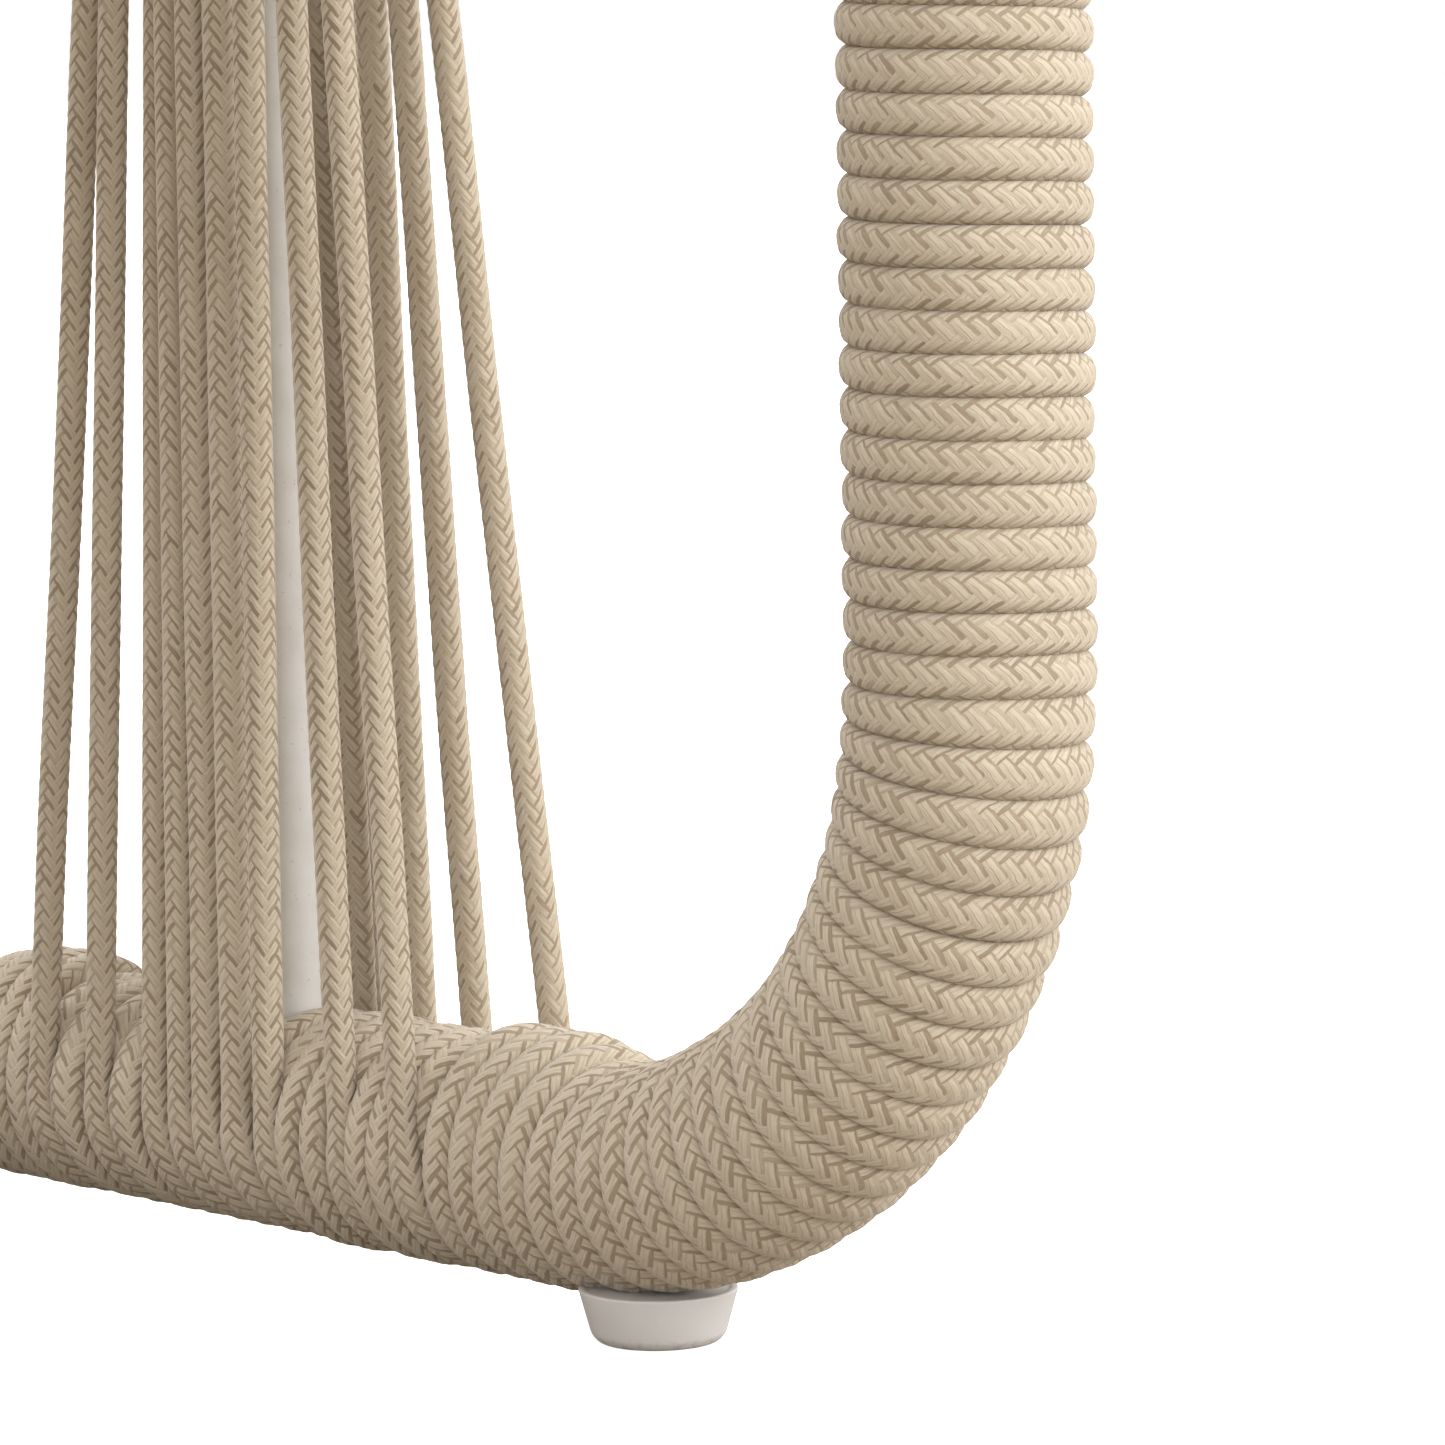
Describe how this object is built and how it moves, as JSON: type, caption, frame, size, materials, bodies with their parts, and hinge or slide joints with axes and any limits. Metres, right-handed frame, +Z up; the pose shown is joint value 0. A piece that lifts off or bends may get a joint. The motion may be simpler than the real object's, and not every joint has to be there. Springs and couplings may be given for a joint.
{
  "type": "hanging egg chair",
  "caption": "Hanging egg chair: sprung swivel basket under a crossbeam between two rope-wrapped side loops with hourglass rope fans.",
  "frame": {"origin": "on the floor in the middle of the footprint", "axes": "+X towards the right-hand loop seen from the front, -Y is the open front of the basket, +Z up"},
  "size_m": [1.33, 0.8996, 1.995],
  "materials": {
    "rope": "braided cream and taupe rope, matt",
    "white_paint": "warm white powder coat, satin",
    "foot_plastic": "moulded, matt",
    "steel": "satin",
    "zinc": "bright zinc plate",
    "nylon": "matt",
    "cushion_fabric": "woven outdoor fabric, matt"
  },
  "bodies": {
    "stand": {"frame_loop_left": "white_paint", "centre_post_left": "white_paint", "rope_wrap_left": "rope", "rope_fan_inner_left": "rope", "rope_fan_outer_left": "rope", "waist_lashing_left": "rope", "foot_front_left": "foot_plastic", "foot_rear_left": "foot_plastic", "beam_wrap_left": "rope", "beam_bolt_left": "zinc", "beam_nut_left": "zinc", "stretcher_bolt_left": "zinc", "stretcher_nut_left": "zinc", "frame_loop_right": "white_paint", "centre_post_right": "white_paint", "rope_wrap_right": "rope", "rope_fan_inner_right": "rope", "rope_fan_outer_right": "rope", "waist_lashing_right": "rope", "foot_front_right": "foot_plastic", "foot_rear_right": "foot_plastic", "beam_wrap_right": "rope", "beam_bolt_right": "zinc", "beam_nut_right": "zinc", "stretcher_bolt_right": "zinc", "stretcher_nut_right": "zinc", "crossbeam": "white_paint", "rear_stretcher": "white_paint", "stretcher_wrap": "rope", "hanger_collar": "white_paint", "pivot_bolt_upper": "zinc", "pivot_nut_upper": "zinc"},
    "swing_link": {"swing_link": "steel", "pivot_bush_upper": "nylon", "pivot_bush_lower": "nylon"},
    "swivel_fork": {"swivel_fork": "steel", "pivot_bolt_lower": "zinc", "pivot_nut_lower": "zinc"},
    "swivel_barrel": {"swivel_barrel": "steel", "thrust_bearing": "zinc", "spring": "steel"},
    "basket": {"quick_link": "zinc", "crown_lug": "white_paint", "basket_rim_tube": "white_paint", "basket_rim_wrap": "rope", "basket_frame": "white_paint", "basket_shell": "rope", "seat_cushion": "cushion_fabric", "back_cushion": "cushion_fabric"}
  },
  "joints": [
    {"name": "fore_aft_swing", "type": "hinge", "parent": "stand", "child": "swing_link", "pos_m": [0, -0.025, 1.89], "axis": [1, 0, 0], "range_deg": [-15, 15]},
    {"name": "side_swing", "type": "hinge", "parent": "swing_link", "child": "swivel_fork", "pos_m": [0, -0.025, 1.835], "axis": [0, 1, 0], "range_deg": [-6, 6]},
    {"name": "swivel", "type": "hinge", "parent": "swivel_fork", "child": "swivel_barrel", "pos_m": [0, -0.025, 1.785], "axis": [0, 0, 1], "continuous": true},
    {"name": "spring_bounce", "type": "slide", "parent": "swivel_barrel", "child": "basket", "axis": [0, 0, 1], "range_m": [-0.045, 0.01], "stiffness_N_per_m": 16000, "springref_m": 0.012, "deforming": ["spring"]}
  ]
}
